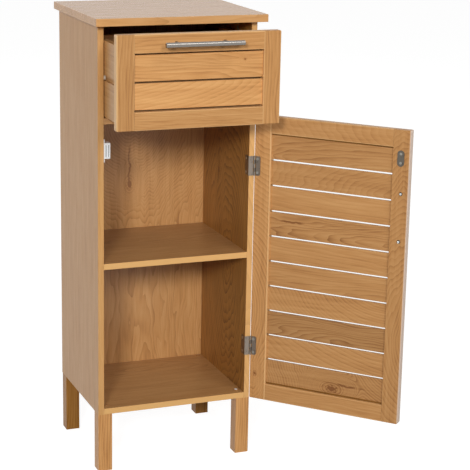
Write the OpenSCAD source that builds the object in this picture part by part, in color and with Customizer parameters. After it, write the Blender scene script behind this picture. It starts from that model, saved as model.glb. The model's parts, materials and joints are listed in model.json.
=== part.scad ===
// Narrow bathroom floor cabinet in oak-effect board: one drawer above one slatted door, four square legs.
// Millimetres, +Z up, the front faces -Y. The origin is on the floor, at the outer front corner of the
// front left leg. At rest the drawer is part open and the door is open.

/* [Cabinet] */
// Overall height, floor to the top's upper face
overall_h = 925; // [850:5:1050]
// Width across the two sides
cabinet_w = 328; // [300:2:400]
// Depth of the sides, front edge to back edge
cabinet_d = 272; // [264:2:360]
// Thickness of the sides, bottom, divider and shelf
panel_t = 12; // [12:0.5:16]
// Clear height of the lower compartment, below the shelf
lower_room_h = 292; // [200:2:360]

/* [Top board] */
// Thickness of the top board
top_t = 15; // [12:0.5:22]
// How far the top stands out past each side
top_side_overhang = 11; // [4:0.5:20]
// How far the top stands out past the front edges of the sides
top_front_overhang = 28; // [22:0.5:36]
// Radius of the edges of the top and the drawer's boards, and of the other boards' front edges
board_edge_r = 0.6; // [0.3:0.1:1.2]

/* [Back panel] */
// Thickness of the back panel
back_t = 3; // [2.5:0.5:6]
// From the back edges of the sides to the back panel's rear face
back_inset = 10; // [6:0.5:20]
// Depth of the grooves that hold the back panel
back_groove_deep = 5; // [3:0.5:7]

/* [Legs] */
// Side of a leg's square section
leg_size = 29; // [25:0.5:40]
// Radius of a leg's long edges
leg_edge_r = 1; // [0.3:0.1:2]
// Height of the legs
leg_h = 122; // [60:1:180]
// How far the back legs stand in from the back edges of the sides
back_leg_inset = 3; // [0:0.5:10]
// Leg screw axis, in from the cabinet's outer side face
leg_screw_in = 22; // [20:0.5:22]
// Leg screw axis, in from the leg's front or back face
leg_screw_back = 20; // [8:0.5:21]
// Length of a leg screw
leg_screw_len = 50; // [30:1:55]
// Radius of a leg screw's shank
leg_screw_r = 2.5; // [2:0.1:3]
// Radius of a leg screw's head
leg_screw_head_r = 4.5; // [4:0.1:5.5]
// Radius of the white cap over a leg screw
cap_r = 5; // [4.5:0.1:7]
// Height of the white cap over a leg screw
cap_h = 1.6; // [1:0.1:3]

/* [Board joints] */
// Radius of a joining dowel
dowel_r = 3; // [2:0.1:4]
// Depth of a dowel in the side or in the top
dowel_in_face = 8; // [5:0.5:10]
// Depth of a dowel in a board's end
dowel_in_end = 16; // [10:0.5:20]
// First dowel, in from the front edge or from the back panel
dowel_inset = 42; // [30:1:50]
// From a dowel to the cam beside it
cam_pitch = 32; // [26:1:40]
// Radius of a cam
cam_r = 6; // [5:0.1:7.5]
// Depth of a cam in its board
cam_deep = 9.5; // [8:0.1:10.5]
// Cam axis, in from the joint that it closes
cam_in = 24; // [20:0.5:34]
// Radius of a cam bolt
cam_bolt_r = 2.5; // [2:0.1:3]

/* [Drawer and door fronts] */
// Thickness of the door's and the drawer front's frames
front_t = 16; // [14:0.5:20]
// Width of the stiles, the frames' uprights
stile_w = 35; // [30:0.5:50]
// Width of the rails, the frames' level bars
rail_w = 35; // [30:0.5:50]
// Thickness of a slat
slat_t = 6; // [4:0.5:8]
// Open slot between slats, and between slat and rail
slat_slot = 3.5; // [2:0.25:6]
// Number of slats in the door
door_slats = 10; // [6:1:12]
// Number of slats in the drawer front
drawer_slats = 2; // [1:1:3]
// Length of the tongues that slats and rails have in the stiles
tongue_len = 8; // [5:0.5:12]
// Length of the frame's ends where the stile's groove stops
haunch = 8; // [6:0.5:12]
// Radius of the edges round the outer face of a front
front_edge_r = 1.8; // [0.8:0.1:2.5]
// Radius of the edges round the inner face of a front
inner_edge_r = 0.7; // [0.3:0.1:1.5]
// Radius of a front's four corners
front_corner_r = 3; // [2:0.5:6]
// Radius of the eased edges of slats, and of stiles and rails where they meet
slat_edge_r = 0.7; // [0.3:0.1:1.2]
// Height of the drawer front
drawer_front_h = 180; // [160:2:220]
// Gap below the top, and between drawer front and door
front_gap = 4; // [3:0.5:6]
// Gap between the fronts and the front edges of the sides
front_clear = 4.5; // [4.5:0.1:6]

/* [Drawer box] */
// How far the drawer stands open
drawer_open = 100; // [0:1:180]
// Length of the drawer box behind its front
drawer_box_len = 250; // [200:2:254]
// Height of the drawer's sides
drawer_side_h = 147; // [100:1:155]
// Thickness of the drawer's sides, inner front and back
drawer_side_t = 12; // [10:0.5:15]
// Gap between the drawer's side and the cabinet's side
drawer_side_gap = 1.5; // [1:0.1:3]
// Gap between the divider and the drawer's sides
drawer_under_gap = 3; // [2:0.5:8]
// Thickness of the drawer's bottom
drawer_bottom_t = 3; // [2.5:0.5:6]
// From the lower edge of the drawer's sides to its bottom
drawer_bottom_up = 10; // [6:0.5:18]
// Depth of the grooves that hold the drawer's bottom
drawer_bottom_groove = 5; // [3:0.5:6]
// How much lower than the sides the drawer's back is
drawer_back_drop = 8; // [2:1:20]
// How far the inner front board laps over the front's upper rail
inner_front_lap = 9; // [8:0.5:12]
// Screws from the inner front into the front, out from the middle
drawer_screw_out = 74; // [60:1:100]
// Length of the drawer's screws
drawer_screw_len = 20; // [16:1:24]

/* [Runners] */
// Height of a runner strip
runner_h = 9; // [7:0.5:14]
// How far a runner strip stands out from the cabinet's side
runner_out = 6; // [5:0.5:7]
// Length of a runner strip
runner_len = 240; // [180:2:250]
// Underside of the runner strips above the divider
runner_up = 74.5; // [40:0.5:110]
// Radius of a strip's ends, seen from the side
runner_end_r = 3; // [1:0.5:4]
// Runner strips' front ends, back from the front edges of the sides
runner_setback = 2; // [1:0.5:8]
// Gap above a strip in the drawer's groove
runner_top_clear = 0.3; // [0.2:0.05:0.6]
// Gap below a strip in the drawer's groove
runner_under_clear = 1.2; // [0.5:0.1:2]
// Gap between a strip's face and the groove's floor
runner_face_clear = 0.6; // [0.3:0.1:1.5]
// First and last strip screws, in from the strip's ends
runner_screw_in = 28; // [15:1:50]

/* [Door hinges] */
// How far the door stands open, in degrees
door_angle = 133; // [0:1:145]
// Height of a hinge
hinge_h = 40; // [30:1:60]
// Upper hinge's middle, down from the door's top
upper_hinge_down = 104; // [50:1:150]
// Lower hinge's middle, up from the door's bottom
lower_hinge_up = 115; // [50:1:150]
// Hinge axis, in from the side's outer face
axis_in = 0.8; // [0:0.1:0.8]
// Thickness of the hinge plates
leaf_t = 1; // [0.8:0.1:1.2]
// Length of the leaf on the side's inner face
side_leaf_len = 17; // [12:0.5:25]
// Width of the leaf on the door, from the door's edge
door_leaf_w = 13; // [11:0.5:20]
// Screw axis, in from the door's edge
door_leaf_screw_in = 6.8; // [6.5:0.1:8]
// Screw axis, back from the side's front edge
side_leaf_screw_back = 11.5; // [7:0.5:13]
// Distance between the two screws of a leaf
leaf_screw_pitch = 28; // [20:1:32]
// Cut corner of the door leaf
leaf_corner = 2.5; // [0.5:0.1:4]
// Radius of the hinge pin
pin_r = 1; // [0.8:0.05:1.1]
// Radial gap between pin and knuckle
pin_clear = 0.05; // [0.02:0.01:0.1]
// Number of knuckles of a hinge, odd
knuckles = 5; // [3:2:7]
// Gap between two knuckles
knuckle_gap = 0.3; // [0.2:0.05:0.6]
// Gap between a knuckle and the board that it turns beside
knuckle_clear = 0.3; // [0.3:0.05:0.5]
// Gap between the knuckles and the flat plates, bridged by each plate's own knuckles
plate_gap = 0.55; // [0.5:0.05:0.8]
// How far a pin's head stands out past the pin
pin_head_lip = 0.6; // [0.3:0.05:0.7]
// Height of a pin's head
pin_head_h = 0.6; // [0.4:0.1:1.2]

/* [Magnetic catch] */
// Catch's middle, down from the door's top
catch_down = 56; // [50:1:150]
// Width of the catch body, out from the cabinet's side
catch_w = 13; // [10:0.5:18]
// Height of the catch body
catch_h = 31; // [24:1:40]
// Depth of the catch body
catch_d = 14; // [12:0.5:20]
// How far the catch body stands in front of the side's front edge
catch_proud = 2; // [0:0.1:2.4]
// Overall height of the catch's flange
flange_h = 45.5; // [44:0.5:56]
// Thickness of the catch's flange
flange_t = 1.4; // [1:0.1:2.5]
// How far the flange stands in from the body's front and from its back
flange_in = 1; // [0.5:0.1:2]
// Radius of the catch's corners
catch_corner_r = 1.2; // [0.5:0.1:2]
// Thickness of the catch body behind the pole plates
catch_wall = 2; // [1.5:0.1:4]
// From the catch body's ends to the pole plates
pole_end_in = 3.5; // [2:0.5:6]
// Thickness of a steel pole plate
pole_t = 1.2; // [0.8:0.1:1.6]
// Gap between the two pole plates
pole_gap = 4; // [2:0.5:5]
// Thickness of the strike plate
strike_t = 1.2; // [0.8:0.1:1.4]
// Width of the strike plate
strike_w = 14; // [10:0.5:18]
// Length of the strike plate
strike_h = 32; // [24:1:40]
// Gap between the pole plates and the strike when the door is shut
strike_clear = 0.3; // [0.2:0.05:0.6]

/* [Small screws] */
// Radius of a small screw's shank
screw_r = 1.3; // [1:0.1:1.6]
// Radius of a small screw's head
screw_head_r = 2.6; // [2.2:0.1:3]
// Length of a small screw
screw_len = 10; // [7:0.5:11]
// Gap around a screw or a dowel in its hole
hole_clear = 0.1; // [0.05:0.05:0.2]

/* [Handles] */
// Radius of a handle's bar
bar_r = 5; // [4:0.5:7]
// Length of a handle's bar
bar_len = 156; // [130:1:220]
// Distance between a handle's two screws
handle_pitch = 96; // [64:32:128]
// From the front's face to the bar's axis
handle_standoff = 28; // [22:0.5:36]
// Radius of a handle's post
post_r = 3.5; // [3:0.1:4]
// How deep a post goes into the bar
post_in_bar = 2; // [1:0.1:2.5]
// Door handle's axis, in from the door's free edge
door_handle_in = 15.5; // [14:0.5:20]
// Door handle's middle, down from the door's top
door_handle_down = 174; // [110:1:300]
// Radius of a handle screw
bolt_r = 2; // [1.5:0.1:2.5]
// How deep a handle screw goes into its post
bolt_in_post = 10; // [6:0.5:14]
// Radius of a handle screw's head
bolt_head_r = 3.6; // [3:0.1:4.5]
// Height of a handle screw's head
bolt_head_h = 2.2; // [1.5:0.1:3]
// Rounded rim of a bar's ends
bar_end_edge = 0.8; // [0.3:0.1:1.5]

/* [Hidden] */
$fn = 48;
arc_steps = 3;
top_z = overall_h - top_t;
floor_z = leg_h + panel_t;
inner_w = cabinet_w - 2 * panel_t;
back_y = cabinet_d - back_inset - back_t;
front_y = -front_clear - front_t;
drawer_front_z = top_z - front_gap - drawer_front_h;
door_z = leg_h;
door_top_z = drawer_front_z - front_gap;
door_h = door_top_z - door_z;
divider_z = door_top_z + front_gap / 2 - panel_t / 2;
divider_top_z = divider_z + panel_t;
shelf_z = floor_z + lower_room_h;
joint_clear = 0.1;
small = 0.01;

dowel_ys = [dowel_inset, back_y - dowel_inset];
cam_ys = [dowel_inset + cam_pitch, back_y - dowel_inset - cam_pitch];
board_zs = [leg_h, shelf_z, divider_z];

drawer_z = divider_top_z + drawer_under_gap;
drawer_x = panel_t + drawer_side_gap;
drawer_w = cabinet_w - 2 * drawer_x;
drawer_inner_x = drawer_x + drawer_side_t;
drawer_inner_w = drawer_w - 2 * drawer_side_t;
drawer_floor_z = drawer_z + drawer_bottom_up;
drawer_back_y = -front_clear + drawer_box_len;
drawer_floor_top_z = drawer_floor_z + drawer_bottom_t;
upper_rail_z = drawer_front_z + drawer_front_h - rail_w;
inner_front_top_z = upper_rail_z + inner_front_lap;
drawer_corner_ys = [-front_clear + drawer_side_t / 2, drawer_back_y - drawer_side_t / 2];
drawer_screw_zs = [(drawer_floor_top_z + drawer_front_z + rail_w) / 2, upper_rail_z + inner_front_lap / 2];
runner_z = divider_top_z + runner_up;
runner_groove_deep = runner_out - drawer_side_gap + runner_face_clear;
runner_groove_z = runner_z - runner_under_clear;
runner_groove_h = runner_under_clear + runner_h + runner_top_clear;
runner_screw_ys = [runner_setback + runner_screw_in, runner_setback + runner_len - runner_screw_in];

axis_x = cabinet_w - axis_in;
axis_y = -front_clear / 2;
barrel_r = front_clear / 2 - knuckle_clear;
plate_end_x = axis_x - barrel_r - plate_gap;
hinge_zs = [door_top_z - upper_hinge_down, door_z + lower_hinge_up];
knuckle_h = hinge_h / knuckles;
leaf_screw_zs = [-leaf_screw_pitch / 2, leaf_screw_pitch / 2];

catch_z = door_top_z - catch_down;
catch_y = -catch_proud;
catch_x = panel_t + catch_w / 2;
pole_front_y = -front_clear + strike_t + strike_clear;
pole_h = catch_h - 2 * pole_end_in;
catch_screw_z = (flange_h + catch_h) / 4;
catch_screw_y = catch_y + catch_d / 2;
strike_screw_z = strike_h / 2 - strike_w / 2;

drawer_handle_z = drawer_front_z + drawer_front_h - rail_w / 2;
drawer_handle_x = cabinet_w / 2;
door_handle_z = door_top_z - door_handle_down;
bar_y = front_y - handle_standoff;
post_ends = [-handle_pitch / 2, handle_pitch / 2];

oak = [0.80, 0.60, 0.38];
oak_front = [0.82, 0.62, 0.38];
oak_inside = [0.66, 0.46, 0.28];
beech = [0.87, 0.74, 0.56];
steel = [0.66, 0.65, 0.62];
zinc = [0.72, 0.72, 0.70];
white = [0.95, 0.95, 0.93];
cream = [0.86, 0.80, 0.70];

function slat_name(panel, i) = str(panel, "_slat_", i < 10 ? "0" : "", i);
function slat_h(h, count) = (h - 2 * rail_w - (count + 1) * slat_slot) / count;

// Corner points of a rectangle, its corners at x = 0 rounded by r1 and those at x = w by r2
function bar_outline(w, h, r1, r2) = concat(
    round_corner(r1, r1, r1, 180), round_corner(w - r2, r2, r2, 270),
    round_corner(w - r2, h - r2, r2, 0), round_corner(r1, h - r1, r1, 90)
);
function round_corner(x, y, r, a) = r > 0
    ? [for (i = [0:arc_steps]) [x + r * cos(a + 90 * i / arc_steps), y + r * sin(a + 90 * i / arc_steps)]]
    : [[x, y]];

// Bars along +X, +Y and +Z whose outline lies in the other two axes
module bar_x(at, length, outline) {
    translate(at) rotate([90, 0, 90]) linear_extrude(length) polygon(outline);
}

module bar_y(at, length, outline) {
    translate(at + [0, length, 0]) rotate([90, 0, 0]) linear_extrude(length) polygon(outline);
}

module bar_z(at, length, outline) {
    translate(at) linear_extrude(length) polygon(outline);
}

// A cylinder along +X or +Y from a point
module rod_x(at, length, r) {
    translate(at) rotate([0, 90, 0]) cylinder(h = length, r = r);
}

module rod_y(at, length, r) {
    translate(at) rotate([-90, 0, 0]) cylinder(h = length, r = r);
}

// Mirrors what is on the left side over to the right side as well
module both_sides() {
    children();
    translate([cabinet_w, 0, 0]) mirror([1, 0, 0]) children();
}

// Countersunk screw, head's face at the origin, pointing down
module screw_form(length, r, head_r, grow = 0) {
    rotate_extrude() polygon([
        [0, -length - grow], [r * 0.3 + grow, -length - grow], [r + grow, -length + r],
        [r + grow, r - head_r], [head_r + grow, grow / 10], [0, grow / 10]
    ]);
}

module screw(length, r, head_r) {
    slot_w = head_r * 0.24;
    slot_len = head_r * 1.1;
    slot_deep = head_r * 0.3;
    difference() {
        screw_form(length, r, head_r);
        translate([-slot_len / 2, -slot_w / 2, -slot_deep]) cube([slot_len, slot_w, slot_deep * 2]);
        translate([-slot_w / 2, -slot_len / 2, -slot_deep]) cube([slot_w, slot_len, slot_deep * 2]);
    }
}

module screw_hole(length, r, head_r) {
    screw_form(length, r, head_r, hole_clear);
}

module small_screw() { screw(screw_len, screw_r, screw_head_r); }
module small_screw_hole() { screw_hole(screw_len, screw_r, screw_head_r); }

// Places along which the board joints repeat
module end_dowels(z, grow) {
    for (y = dowel_ys)
        rod_x([panel_t - dowel_in_face - grow, y, z + panel_t / 2],
            dowel_in_face + dowel_in_end + 2 * grow, dowel_r + grow);
}

module top_dowels(grow) {
    for (y = dowel_ys)
        translate([panel_t / 2, y, top_z - dowel_in_end - grow])
            cylinder(h = dowel_in_face + dowel_in_end + 2 * grow, r = dowel_r + grow);
}

module end_cams(z, grow) {
    for (y = cam_ys)
        translate([panel_t + cam_in, y, z - grow]) cylinder(h = cam_deep + 2 * grow, r = cam_r + grow);
}

module top_cams(grow) {
    for (y = cam_ys)
        rod_x([panel_t - cam_deep - grow, y, top_z - cam_in], cam_deep + 2 * grow, cam_r + grow);
}

module end_bolts(z, grow) {
    for (y = cam_ys)
        rod_x([panel_t - dowel_in_face - grow, y, z + panel_t / 2],
            dowel_in_face + cam_in - cam_r - joint_clear + grow, cam_bolt_r + grow);
}

module top_bolts(grow) {
    for (y = cam_ys)
        translate([panel_t / 2, y, top_z - cam_in + cam_r + joint_clear])
            cylinder(h = cam_in - cam_r - joint_clear + dowel_in_face + grow, r = cam_bolt_r + grow);
}

// The back panel's room, cut into whatever holds it
module back_room() {
    translate([panel_t - back_groove_deep, back_y - joint_clear / 2, floor_z - back_groove_deep])
        cube([inner_w + 2 * back_groove_deep, back_t + joint_clear, top_z - floor_z + 2 * back_groove_deep]);
}

// Screws of the cabinet body: runner strips, hinge leaves and catch
module at_runner_screws() {
    for (y = runner_screw_ys)
        translate([panel_t + runner_out, y, runner_z + runner_h / 2]) rotate([0, 90, 0]) children();
}

module at_side_leaf_screws() {
    for (hz = hinge_zs, dz = leaf_screw_zs)
        translate([cabinet_w - panel_t - leaf_t, side_leaf_screw_back, hz + dz])
            rotate([0, -90, 0]) children();
}

module at_catch_screws() {
    for (dz = [-catch_screw_z, catch_screw_z])
        translate([panel_t + flange_t, catch_screw_y, catch_z + dz]) rotate([0, 90, 0]) children();
}

// Screws of the door: hinge leaves and strike plate, with the door shut
module at_door_leaf_screws() {
    for (hz = hinge_zs, dz = leaf_screw_zs)
        translate([cabinet_w - door_leaf_screw_in, -front_clear + leaf_t, hz + dz])
            rotate([-90, 0, 0]) children();
}

module at_strike_screws() {
    for (dz = [-strike_screw_z, strike_screw_z])
        translate([catch_x, -front_clear + strike_t, catch_z + dz]) rotate([-90, 0, 0]) children();
}

module at_leg_screws() {
    both_sides() {
        translate([leg_screw_in, leg_screw_back, floor_z]) children();
        translate([leg_screw_in, cabinet_d - back_leg_inset - leg_screw_back, floor_z]) children();
    }
}

// Cabinet boards
module top_board() {
    at = [-top_side_overhang, -top_front_overhang, top_z];
    wide = cabinet_w + 2 * top_side_overhang;
    deep = top_front_overhang + cabinet_d;
    color(oak) difference() {
        intersection() {
            bar_x(at, wide, bar_outline(deep, top_t, board_edge_r, board_edge_r));
            bar_y(at, deep, bar_outline(wide, top_t, board_edge_r, board_edge_r));
        }
        back_room();
        both_sides() {
            top_dowels(hole_clear);
            top_bolts(hole_clear);
        }
    }
}

module side_board() {
    outline = [for (p = bar_outline(cabinet_d, panel_t, board_edge_r, 0)) [p[1], p[0]]];
    difference() {
        bar_z([0, 0, leg_h], top_z - leg_h, outline);
        back_room();
        for (z = board_zs) {
            end_dowels(z, hole_clear);
            end_bolts(z, hole_clear);
        }
        top_dowels(hole_clear);
        top_cams(hole_clear);
        top_bolts(hole_clear);
    }
}

module left_side() {
    color(oak) difference() {
        side_board();
        at_runner_screws() small_runner_screw_hole();
        at_catch_screws() small_screw_hole();
    }
}

module right_side() {
    color(oak) difference() {
        translate([cabinet_w, 0, 0]) mirror([1, 0, 0]) side_board();
        translate([cabinet_w, 0, 0]) mirror([1, 0, 0]) at_runner_screws() small_runner_screw_hole();
        at_side_leaf_screws() small_screw_hole();
    }
}

module small_runner_screw() { screw(screw_len + runner_out, screw_r, screw_head_r); }
module small_runner_screw_hole() { screw_hole(screw_len + runner_out, screw_r, screw_head_r); }

module level_board(z, depth) {
    difference() {
        bar_x([panel_t, 0, z], inner_w, bar_outline(depth, panel_t, board_edge_r, 0));
        both_sides() {
            end_dowels(z, hole_clear);
            end_cams(z, hole_clear);
            end_bolts(z, hole_clear);
        }
    }
}

module bottom_board() {
    color(oak_inside) difference() {
        level_board(leg_h, cabinet_d);
        back_room();
        at_leg_screws() screw_hole(leg_screw_len, leg_screw_r, leg_screw_head_r);
    }
}

module drawer_divider() { color(oak_inside) level_board(divider_z, back_y - joint_clear / 2); }
module shelf() { color(oak_inside) level_board(shelf_z, back_y - joint_clear / 2); }

module back_panel() {
    tuck = back_groove_deep - joint_clear;
    color(oak_inside)
        translate([panel_t - tuck, back_y, floor_z - tuck])
            cube([inner_w + 2 * tuck, back_t, top_z - floor_z + 2 * tuck]);
}

// Legs and their screws
module leg(x, y) {
    color(oak) difference() {
        bar_z([x, y, 0], leg_h, bar_outline(leg_size, leg_size, leg_edge_r, leg_edge_r));
        at_leg_screws() screw_hole(leg_screw_len, leg_screw_r, leg_screw_head_r);
    }
}

back_leg_y = cabinet_d - back_leg_inset - leg_size;
module leg_front_left() { leg(0, 0); }
module leg_front_right() { leg(cabinet_w - leg_size, 0); }
module leg_back_left() { leg(0, back_leg_y); }
module leg_back_right() { leg(cabinet_w - leg_size, back_leg_y); }

module leg_screws() {
    color(zinc) at_leg_screws() screw(leg_screw_len, leg_screw_r, leg_screw_head_r);
}

module leg_screw_caps() {
    color(white) at_leg_screws() rotate_extrude() polygon([
        [0, 0], [cap_r, 0], [cap_r, cap_h * 0.4],
        [cap_r * 0.86, cap_h * 0.8], [cap_r * 0.5, cap_h], [0, cap_h]
    ]);
}

// Board joints
module board_dowels() {
    color(beech) both_sides() {
        for (z = board_zs) end_dowels(z, 0);
        top_dowels(0);
    }
}

module cam_locks() {
    color(zinc) both_sides() {
        for (z = board_zs) difference() {
            end_cams(z, 0);
            for (y = cam_ys) translate([panel_t + cam_in, y, z]) cam_cross();
        }
        difference() {
            top_cams(0);
            for (y = cam_ys) translate([panel_t, y, top_z - cam_in]) rotate([0, -90, 0]) cam_cross();
        }
    }
}

module cam_bolts() {
    color(zinc) both_sides() {
        for (z = board_zs) end_bolts(z, 0);
        top_bolts(0);
    }
}

module cam_cross() {
    arm = cam_r * 1.2;
    wide = 1.4;
    deep = 2;
    translate([-arm / 2, -wide / 2, -small]) cube([arm, wide, deep]);
    translate([-wide / 2, -arm / 2, -small]) cube([wide, arm, deep]);
}

// Runner strips
module runner_strip() {
    lead_in = runner_out * 0.35;
    at = [panel_t, runner_setback, runner_z];
    difference() {
        intersection() {
            bar_z(at, runner_h, [
                [0, 0], [runner_out - lead_in, 0], [runner_out, lead_in],
                [runner_out, runner_len - lead_in], [runner_out - lead_in, runner_len], [0, runner_len]
            ]);
            bar_x(at, runner_out, bar_outline(runner_len, runner_h, runner_end_r, runner_end_r));
        }
        at_runner_screws() small_runner_screw_hole();
    }
}

module runner_left() { color(cream) runner_strip(); }
module runner_right() { color(cream) translate([cabinet_w, 0, 0]) mirror([1, 0, 0]) runner_strip(); }

module cabinet_small_screws() {
    color(zinc) {
        both_sides() at_runner_screws() small_runner_screw();
        at_side_leaf_screws() small_screw();
        at_catch_screws() small_screw();
    }
}

// Hinges: knuckles with even numbers belong to the side leaf, odd ones to the door leaf
module knuckle_row(first, tab_y) {
    for (k = [first:2:knuckles - 1])
        translate([0, 0, k * knuckle_h - hinge_h / 2 + knuckle_gap / 2]) {
            translate([axis_x, axis_y, 0]) cylinder(h = knuckle_h - knuckle_gap, r = barrel_r);
            translate([plate_end_x - small, tab_y, 0])
                cube([axis_x - plate_end_x + small, leaf_t, knuckle_h - knuckle_gap]);
        }
}

module knuckle_bore() {
    translate([axis_x, axis_y, -hinge_h]) cylinder(h = 2 * hinge_h, r = pin_r + pin_clear);
}

module side_leaf(z) {
    color(steel) difference() {
        translate([0, 0, z]) difference() {
            union() {
                translate([cabinet_w - panel_t - leaf_t, -leaf_t, -hinge_h / 2])
                    cube([leaf_t, side_leaf_len + leaf_t, hinge_h]);
                translate([cabinet_w - panel_t - leaf_t, -leaf_t, -hinge_h / 2])
                    cube([plate_end_x - cabinet_w + panel_t + leaf_t, leaf_t, hinge_h]);
                knuckle_row(0, -leaf_t);
            }
            knuckle_bore();
        }
        at_side_leaf_screws() small_screw_hole();
    }
}

module door_leaf(z) {
    color(steel) hung_door() difference() {
        translate([0, 0, z]) difference() {
            union() {
                translate([0, -front_clear + leaf_t, 0]) rotate([90, 0, 0]) linear_extrude(leaf_t) polygon([
                    [plate_end_x, -hinge_h / 2], [plate_end_x, hinge_h / 2],
                    [cabinet_w - door_leaf_w + leaf_corner, hinge_h / 2],
                    [cabinet_w - door_leaf_w, hinge_h / 2 - leaf_corner],
                    [cabinet_w - door_leaf_w, leaf_corner - hinge_h / 2],
                    [cabinet_w - door_leaf_w + leaf_corner, -hinge_h / 2]
                ]);
                knuckle_row(1, -front_clear);
            }
            knuckle_bore();
        }
        at_door_leaf_screws() small_screw_hole();
    }
}

module hinge_upper_side_leaf() { side_leaf(hinge_zs[0]); }
module hinge_lower_side_leaf() { side_leaf(hinge_zs[1]); }
module hinge_upper_door_leaf() { door_leaf(hinge_zs[0]); }
module hinge_lower_door_leaf() { door_leaf(hinge_zs[1]); }

module hinge_pins() {
    color(steel) for (z = hinge_zs)
        translate([axis_x, axis_y, z - hinge_h / 2]) {
            cylinder(h = hinge_h, r = pin_r);
            translate([0, 0, hinge_h - knuckle_gap / 2]) cylinder(h = pin_head_h, r = pin_r + pin_head_lip);
        }
}

// Magnetic catch on the left side, and its strike plate on the door
module catch_body() {
    pole_room = [pole_t + joint_clear, catch_d - catch_wall, pole_h + joint_clear];
    color(white) difference() {
        union() {
            bar_z([panel_t, catch_y, catch_z - catch_h / 2], catch_h,
                bar_outline(catch_w, catch_d, 0, catch_corner_r));
            bar_x([panel_t, catch_y + flange_in, catch_z - flange_h / 2], flange_t,
                bar_outline(catch_d - 2 * flange_in, flange_h, catch_corner_r, catch_corner_r));
        }
        for (s = [-1, 1])
            translate([catch_x + s * (pole_gap + pole_t) / 2 - pole_room[0] / 2,
                catch_y - small, catch_z - pole_room[2] / 2]) cube(pole_room);
        at_catch_screws() small_screw_hole();
    }
}

module catch_poles() {
    pole_back_y = catch_y + catch_d - catch_wall - 2 * joint_clear;
    color(steel) for (s = [-1, 1])
        translate([catch_x + s * (pole_gap + pole_t) / 2 - pole_t / 2, pole_front_y, catch_z - pole_h / 2])
            cube([pole_t, pole_back_y - pole_front_y, pole_h]);
}

module strike_plate() {
    end_z = strike_h / 2 - strike_w / 2;
    color(steel) hung_door() difference() {
        translate([catch_x, -front_clear + strike_t, catch_z]) rotate([90, 0, 0]) linear_extrude(strike_t) {
            translate([-strike_w / 2, -end_z]) square([strike_w, 2 * end_z]);
            for (s = [-1, 1]) intersection() {
                translate([0, s * end_z]) circle(r = strike_w / 2);
                translate([-strike_w / 2, s > 0 ? end_z : -strike_h / 2]) square([strike_w, strike_w / 2]);
            }
        }
        at_strike_screws() small_screw_hole();
    }
}

// The door is drawn shut and swung about the hinge axis
module hung_door() {
    translate([axis_x, axis_y, 0]) rotate([0, 0, door_angle]) translate([-axis_x, -axis_y, 0]) children();
}

// A front's outside form, with the front shut: its edges and its four corners are rounded
module front_form(z, h) {
    at = [0, front_y, z];
    level = [for (p = bar_outline(front_t, cabinet_w, front_edge_r, inner_edge_r)) [p[1], p[0]]];
    intersection() {
        bar_z(at, h, level);
        bar_x(at, cabinet_w, bar_outline(front_t, h, front_edge_r, inner_edge_r));
        bar_y(at, front_t, bar_outline(cabinet_w, h, front_corner_r, front_corner_r));
    }
}

// Left stile, with the groove that takes the ends of the rails and the slats
module front_stile(z, h) {
    groove_deep = tongue_len + joint_clear;
    difference() {
        intersection() {
            front_form(z, h);
            bar_z([0, front_y, z], h, bar_outline(stile_w, front_t, 0, slat_edge_r));
        }
        translate([stile_w - groove_deep, front_y + (front_t - slat_t - joint_clear) / 2, z + haunch])
            cube([groove_deep + 1, slat_t + joint_clear, h - 2 * haunch]);
    }
}

module level_bar(z, w, t, length) {
    bar_x([(cabinet_w - length) / 2, front_y + (front_t - t) / 2, z], length,
        bar_outline(t, w, slat_edge_r, slat_edge_r));
}

module front_rail(z, h, rail_z, tongue_z) {
    between = cabinet_w - 2 * stile_w;
    intersection() {
        front_form(z, h);
        level_bar(rail_z, rail_w, front_t, between);
    }
    translate([stile_w - tongue_len, front_y + (front_t - slat_t) / 2, tongue_z + joint_clear / 2])
        cube([between + 2 * tongue_len, slat_t, rail_w - haunch - joint_clear]);
}

module lower_rail(z, h) { front_rail(z, h, z, z + haunch); }
module upper_rail(z, h) { front_rail(z, h, z + h - rail_w, z + h - rail_w); }

module front_slat(z, h, count, i) {
    high = slat_h(h, count);
    length = cabinet_w - 2 * stile_w + 2 * tongue_len;
    level_bar(z + h - rail_w - i * (high + slat_slot), high, slat_t, length);
}

module door_hinge_stile() {
    color(oak_front) hung_door() difference() {
        translate([cabinet_w, 0, 0]) mirror([1, 0, 0]) front_stile(door_z, door_h);
        at_door_leaf_screws() small_screw_hole();
    }
}

module door_free_stile() {
    color(oak_front) hung_door() difference() {
        front_stile(door_z, door_h);
        at_strike_screws() small_screw_hole();
        for (dz = post_ends)
            rod_y([door_handle_in, front_y - 1, door_handle_z + dz], front_t + 2, bolt_r + hole_clear);
    }
}

module door_top_rail() { color(oak_front) hung_door() upper_rail(door_z, door_h); }
module door_bottom_rail() { color(oak_front) hung_door() lower_rail(door_z, door_h); }
module door_slat(i) { color(oak_front) hung_door() front_slat(door_z, door_h, door_slats, i); }

module door_small_screws() {
    color(zinc) hung_door() {
        at_door_leaf_screws() small_screw();
        at_strike_screws() small_screw();
    }
}

// Bar handles, along Z with the front's face at y = 0
module handle_bar() {
    e = bar_end_edge;
    difference() {
        translate([0, -handle_standoff, 0]) rotate_extrude() polygon([
            [0, -bar_len / 2], [bar_r - e, -bar_len / 2], [bar_r, e - bar_len / 2],
            [bar_r, bar_len / 2 - e], [bar_r - e, bar_len / 2], [0, bar_len / 2]
        ]);
        for (dz = post_ends)
            rod_y([0, -handle_standoff + bar_r - post_in_bar, dz], bar_r, post_r + hole_clear);
    }
}

module handle_posts() {
    post_len = handle_standoff - bar_r + post_in_bar - joint_clear;
    for (dz = post_ends) difference() {
        rod_y([0, -post_len, dz], post_len, post_r);
        rod_y([0, -bolt_in_post - joint_clear, dz], bolt_in_post + 1, bolt_r + hole_clear);
    }
}

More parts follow.
